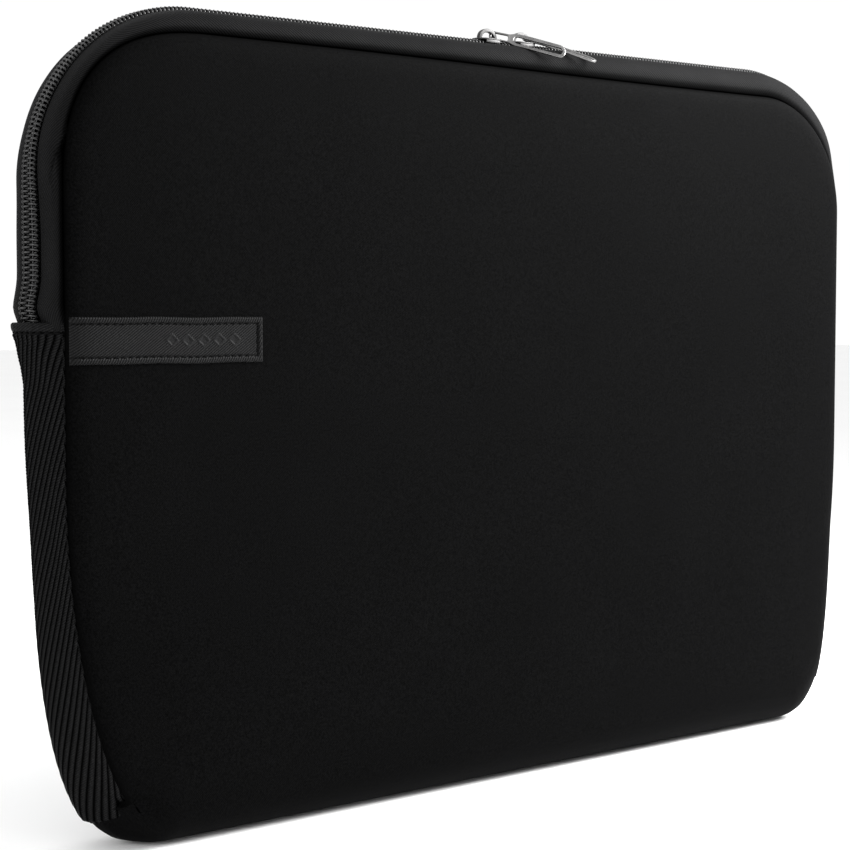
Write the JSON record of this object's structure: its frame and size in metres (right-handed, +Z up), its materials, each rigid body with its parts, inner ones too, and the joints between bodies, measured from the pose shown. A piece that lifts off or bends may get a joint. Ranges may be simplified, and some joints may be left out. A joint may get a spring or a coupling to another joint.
{
  "type": "laptop sleeve",
  "caption": "Padded black laptop sleeve with webbing side gussets, sewn label, wrap-over zip with metal sliders and a fold-down front flap.",
  "frame": {"origin": "middle of the bottom edge, on the surface the sleeve stands on", "axes": "+X along the width to the right seen from the front, front panel faces -Y, +Z up to the zip"},
  "size_m": [0.3844, 0.0344, 0.2734],
  "materials": {
    "neoprene": "matte",
    "plush": "matte",
    "twill": "satin",
    "tape": "matte",
    "coil": "gloss",
    "webbing": "satin",
    "label": "satin",
    "thread": "satin",
    "metal": "satin"
  },
  "bodies": {
    "sleeve": {"wrap_panel": "neoprene", "wrap_lining": "plush", "strip_back": "twill", "tape_back": "tape", "coil_back": "coil", "stop_left": "metal", "stop_right": "metal", "gusset_left": "webbing", "gusset_right": "webbing", "hem_stitch_left": "thread", "hem_stitch_right": "thread", "label": "label", "label_stitch": "thread"},
    "flap": {"flap_panel": "neoprene", "flap_lining": "plush", "strip_front": "twill", "tape_front": "tape", "coil_front": "coil"},
    "slider_l": {"slider_left": "metal", "crown_left": "metal"},
    "slider_r": {"slider_right": "metal", "crown_right": "metal"},
    "pull_l": {"pull_left": "metal"},
    "pull_r": {"pull_right": "metal"}
  },
  "joints": [
    {"name": "flap_fold", "type": "hinge", "parent": "sleeve", "child": "flap", "pos_m": [0, -0.017, 0.1705], "axis": [1, 0, 0], "range_deg": [0, 50], "stiffness_Nm_per_rad": 0.15},
    {"name": "left_zip_run", "type": "slide", "parent": "flap", "child": "slider_l", "axis": [-1, 0, 0], "range_m": [0, 0.115]},
    {"name": "right_zip_run", "type": "slide", "parent": "flap", "child": "slider_r", "axis": [1, 0, 0], "range_m": [0, 0.115]},
    {"name": "left_pull_swing", "type": "hinge", "parent": "slider_l", "child": "pull_l", "pos_m": [-0.0027, 0, 0.27135], "axis": [-0.3429, -0.796, -0.4988], "range_deg": [0, 140]},
    {"name": "right_pull_swing", "type": "hinge", "parent": "slider_r", "child": "pull_r", "pos_m": [0.0137, 0, 0.27135], "axis": [-0.3089, -0.8882, -0.3401], "range_deg": [0, 140]}
  ]
}
